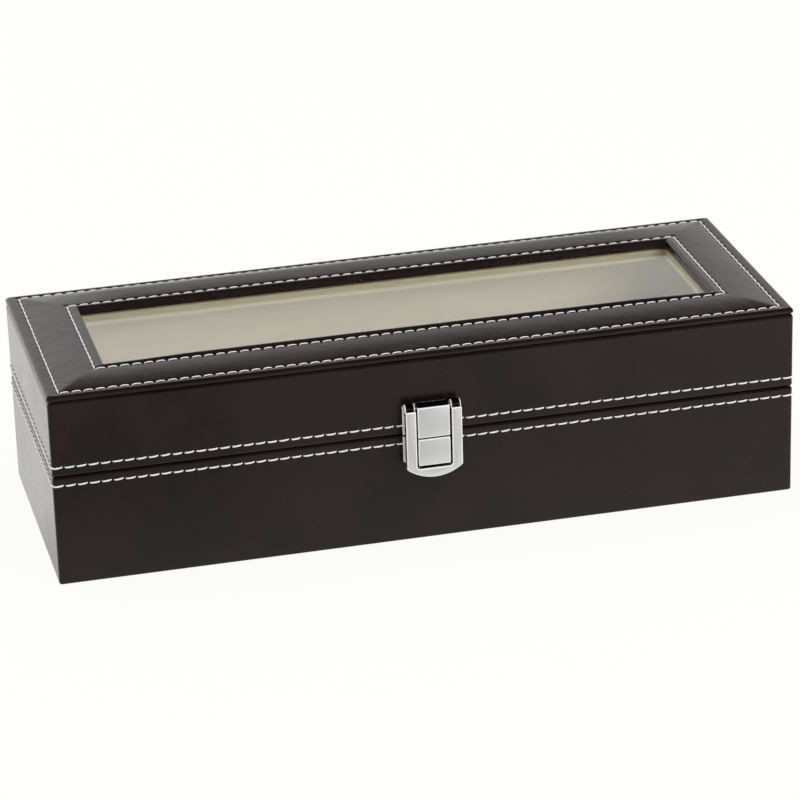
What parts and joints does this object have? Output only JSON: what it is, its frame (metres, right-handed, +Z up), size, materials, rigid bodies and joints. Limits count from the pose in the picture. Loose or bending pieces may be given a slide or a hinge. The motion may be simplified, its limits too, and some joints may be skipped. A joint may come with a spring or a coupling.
{
  "type": "watch box",
  "caption": "Long leather-covered watch box with a glass lid window, lined compartments, lift-out cushions, rear hinges and a flip-up front hasp.",
  "frame": {"origin": "middle of the underside, on the plane that the box rests on", "axes": "+X along the width, -Y towards the latch at the front, +Z up"},
  "size_m": [0.3, 0.1214, 0.0803],
  "materials": {
    "board": "matte",
    "leather": "satin",
    "felt": "matte",
    "foam": "matte",
    "lining_suede": "matte",
    "cushion_suede": "matte",
    "glass": "polished",
    "chrome": "polished",
    "nickel": "satin"
  },
  "bodies": {
    "base": {"base_felt": "felt", "base_floor_board": "board", "base_front_board": "board", "base_back_board": "board", "base_left_board": "board", "base_right_board": "board", "base_leather": "leather", "floor_lining": "lining_suede", "front_lining": "lining_suede", "back_lining": "lining_suede", "left_lining": "lining_suede", "right_lining": "lining_suede", "divider_1": "lining_suede", "divider_2": "lining_suede", "divider_3": "lining_suede", "divider_4": "lining_suede", "divider_5": "lining_suede", "left_hinge_base_leaf": "nickel", "left_hinge_pin": "nickel", "right_hinge_base_leaf": "nickel", "right_hinge_pin": "nickel", "hinge_base_screws": "nickel", "latch_base_catch": "chrome"},
    "lid": {"lid_front_board": "board", "lid_back_board": "board", "lid_left_board": "board", "lid_right_board": "board", "lid_leather": "leather", "window_frame_board": "board", "window_frame_padding": "foam", "window_frame_leather": "leather", "glass_pane": "glass", "glass_retainer": "lining_suede", "lid_front_lining": "lining_suede", "lid_back_lining": "lining_suede", "lid_left_lining": "lining_suede", "lid_right_lining": "lining_suede", "left_hinge_lid_leaf": "nickel", "right_hinge_lid_leaf": "nickel", "hinge_lid_screws": "nickel", "latch_lid_plate": "chrome", "latch_pin": "chrome"},
    "hasp": {"latch_hasp": "chrome"},
    "cushion_1_body": {"cushion_1": "cushion_suede"},
    "cushion_2_body": {"cushion_2": "cushion_suede"},
    "cushion_3_body": {"cushion_3": "cushion_suede"},
    "cushion_4_body": {"cushion_4": "cushion_suede"},
    "cushion_5_body": {"cushion_5": "cushion_suede"},
    "cushion_6_body": {"cushion_6": "cushion_suede"}
  },
  "joints": [
    {"name": "lid_hinge", "type": "hinge", "parent": "base", "child": "lid", "pos_m": [0, 0.0574, 0.0457], "axis": [-1, 0, 0], "range_deg": [0, 105]},
    {"name": "hasp_hinge", "type": "hinge", "parent": "lid", "child": "hasp", "pos_m": [0, -0.0584, 0.05805], "axis": [-1, 0, 0], "range_deg": [0, 140]},
    {"name": "cushion_1_lift", "type": "slide", "parent": "base", "child": "cushion_1_body", "axis": [0, 0, 1], "range_m": [0, 0.023]},
    {"name": "cushion_2_lift", "type": "slide", "parent": "base", "child": "cushion_2_body", "axis": [0, 0, 1], "range_m": [0, 0.023]},
    {"name": "cushion_3_lift", "type": "slide", "parent": "base", "child": "cushion_3_body", "axis": [0, 0, 1], "range_m": [0, 0.023]},
    {"name": "cushion_4_lift", "type": "slide", "parent": "base", "child": "cushion_4_body", "axis": [0, 0, 1], "range_m": [0, 0.023]},
    {"name": "cushion_5_lift", "type": "slide", "parent": "base", "child": "cushion_5_body", "axis": [0, 0, 1], "range_m": [0, 0.023]},
    {"name": "cushion_6_lift", "type": "slide", "parent": "base", "child": "cushion_6_body", "axis": [0, 0, 1], "range_m": [0, 0.023]}
  ]
}
